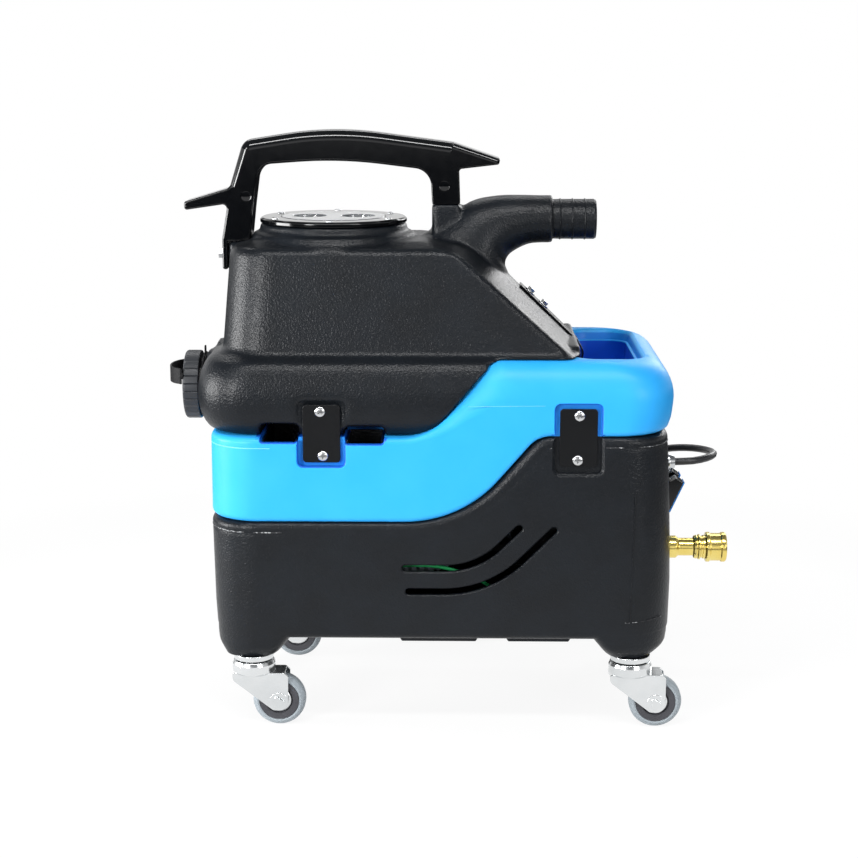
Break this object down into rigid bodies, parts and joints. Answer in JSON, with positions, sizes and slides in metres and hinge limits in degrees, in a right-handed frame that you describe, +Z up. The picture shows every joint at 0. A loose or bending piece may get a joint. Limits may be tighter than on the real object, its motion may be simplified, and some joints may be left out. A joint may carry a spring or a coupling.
{
  "type": "portable carpet cleaner",
  "caption": "Portable carpet extractor with stacked solution and recovery tanks on a motor base, carrying handle, vacuum hose inlet, swivel casters and a power cord.",
  "frame": {"origin": "middle of the machine's own bounding box, on the floor under the wheels, cord left out", "axes": "+X runs along the body to the hose inlet end, +Z up, +Y across the body away from the side with the quick coupler"},
  "size_m": [0.5532, 0.4252, 0.5653],
  "materials": {
    "black_tank": "satin moulded",
    "black_plate": "satin",
    "black_gloss": "gloss",
    "blue_tank": "satin moulded",
    "clear_lid": "clear moulded",
    "rubber": "matte",
    "steel": "satin",
    "zinc": "bright plated",
    "brass": "bright turned",
    "wheel_hub": "satin",
    "wheel_tyre": "matte non-marking",
    "motor_metal": "satin",
    "cord_vinyl": "satin",
    "green_wire": "gloss",
    "float_plastic": "gloss"
  },
  "bodies": {
    "machine": {"base_housing": "black_tank", "base_pan": "black_plate", "solution_tank": "blue_tank", "recovery_tank": "black_tank", "hose_barb": "black_plate", "handle": "black_gloss", "handle_bolt": "steel", "handle_stud": "steel", "splash_flap": "rubber", "flap_screw_1": "steel", "flap_screw_2": "steel", "deck_ring": "black_gloss", "standpipe": "black_plate", "drain_spout": "black_plate", "tether_ring": "rubber", "bracket_front_left": "black_plate", "bracket_back_left": "black_plate", "bracket_front_right": "black_plate", "bracket_back_right": "black_plate", "switch_panel": "black_gloss", "cord_grip": "steel", "coupler_body": "brass", "fan_shell": "motor_metal", "vacuum_motor": "motor_metal", "vacuum_hose": "rubber", "solution_pump": "black_plate", "suction_hose": "rubber", "pressure_hose": "rubber", "earth_wire": "green_wire", "caster_mount_front_left": "zinc", "caster_mount_front_right": "zinc", "caster_mount_back_left": "zinc", "caster_mount_back_right": "zinc", "power_cord": "cord_vinyl", "cord_coil": "cord_vinyl", "cord_plug": "cord_vinyl"},
    "lid_seal": {"lid_o_ring": "rubber"},
    "lid": {"deck_lid": "clear_lid"},
    "cap_seal": {"drain_gasket": "rubber"},
    "cap": {"drain_cap": "black_plate", "cap_strap": "rubber"},
    "float": {"float_ball": "float_plastic"},
    "pump_switch": {"pump_rocker": "black_gloss"},
    "vacuum_switch": {"vacuum_rocker": "black_gloss"},
    "release_sleeve": {"coupler_sleeve": "brass"},
    "fan_wheel": {"impeller": "motor_metal"},
    "caster_front_left": {"caster_fork_front_left": "zinc"},
    "wheel_front_left": {"wheel_hub_front_left": "wheel_hub", "wheel_tyre_front_left": "wheel_tyre"},
    "caster_front_right": {"caster_fork_front_right": "zinc"},
    "wheel_front_right": {"wheel_hub_front_right": "wheel_hub", "wheel_tyre_front_right": "wheel_tyre"},
    "caster_back_left": {"caster_fork_back_left": "zinc"},
    "wheel_back_left": {"wheel_hub_back_left": "wheel_hub", "wheel_tyre_back_left": "wheel_tyre"},
    "caster_back_right": {"caster_fork_back_right": "zinc"},
    "wheel_back_right": {"wheel_hub_back_right": "wheel_hub", "wheel_tyre_back_right": "wheel_tyre"}
  },
  "joints": [
    {"name": "lid_lift", "type": "slide", "parent": "machine", "child": "lid_seal", "axis": [0, 0, 1], "range_m": [0, 0.0122]},
    {"name": "lid_turn", "type": "hinge", "parent": "lid_seal", "child": "lid", "pos_m": [-0.11055, 0, 0.479], "axis": [0, 0, 1], "range_deg": [0, 1080]},
    {"name": "cap_draw", "type": "slide", "parent": "machine", "child": "cap_seal", "axis": [-1, 0, 0], "range_m": [0, 0.0122]},
    {"name": "cap_turn", "type": "hinge", "parent": "cap_seal", "child": "cap", "pos_m": [-0.2546, 0, 0.3153], "axis": [-1, 0, 0], "range_deg": [0, 1080]},
    {"name": "float_rise", "type": "slide", "parent": "machine", "child": "float", "axis": [0, 0, 1], "range_m": [0, 0.022]},
    {"name": "pump_switch_rock", "type": "hinge", "parent": "machine", "child": "pump_switch", "pos_m": [0.21345, -0.03, 0.212], "axis": [0, 1, 0], "range_deg": [-20, 0]},
    {"name": "vacuum_switch_rock", "type": "hinge", "parent": "machine", "child": "vacuum_switch", "pos_m": [0.21345, 0.003, 0.212], "axis": [0, 1, 0], "range_deg": [-20, 0]},
    {"name": "sleeve_draw", "type": "slide", "parent": "machine", "child": "release_sleeve", "axis": [1, 0, 0], "range_m": [-0.005, 0], "stiffness_N_per_m": 600, "springref_m": 0.002},
    {"name": "fan_spin", "type": "hinge", "parent": "machine", "child": "fan_wheel", "pos_m": [0.104, 0, 0.185], "axis": [1, 0, 0], "continuous": true},
    {"name": "swivel_front_left", "type": "hinge", "parent": "machine", "child": "caster_front_left", "pos_m": [-0.1849, -0.103, 0.06], "axis": [0, 0, 1], "continuous": true},
    {"name": "roll_front_left", "type": "hinge", "parent": "caster_front_left", "child": "wheel_front_left", "pos_m": [-0.1604, -0.103, 0.0254], "axis": [0, 1, 0], "continuous": true},
    {"name": "swivel_front_right", "type": "hinge", "parent": "machine", "child": "caster_front_right", "pos_m": [0.1776, -0.103, 0.06], "axis": [0, 0, 1], "continuous": true},
    {"name": "roll_front_right", "type": "hinge", "parent": "caster_front_right", "child": "wheel_front_right", "pos_m": [0.2021, -0.103, 0.0254], "axis": [0, 1, 0], "continuous": true},
    {"name": "swivel_back_left", "type": "hinge", "parent": "machine", "child": "caster_back_left", "pos_m": [-0.1849, 0.103, 0.06], "axis": [0, 0, 1], "continuous": true},
    {"name": "roll_back_left", "type": "hinge", "parent": "caster_back_left", "child": "wheel_back_left", "pos_m": [-0.1604, 0.103, 0.0254], "axis": [0, 1, 0], "continuous": true},
    {"name": "swivel_back_right", "type": "hinge", "parent": "machine", "child": "caster_back_right", "pos_m": [0.1776, 0.103, 0.06], "axis": [0, 0, 1], "continuous": true},
    {"name": "roll_back_right", "type": "hinge", "parent": "caster_back_right", "child": "wheel_back_right", "pos_m": [0.2021, 0.103, 0.0254], "axis": [0, 1, 0], "continuous": true}
  ],
  "couplings": [
    {"joint": "lid_lift", "follows": "lid_turn", "m_per_rad": 0.00064},
    {"joint": "cap_draw", "follows": "cap_turn", "m_per_rad": 0.00064}
  ]
}
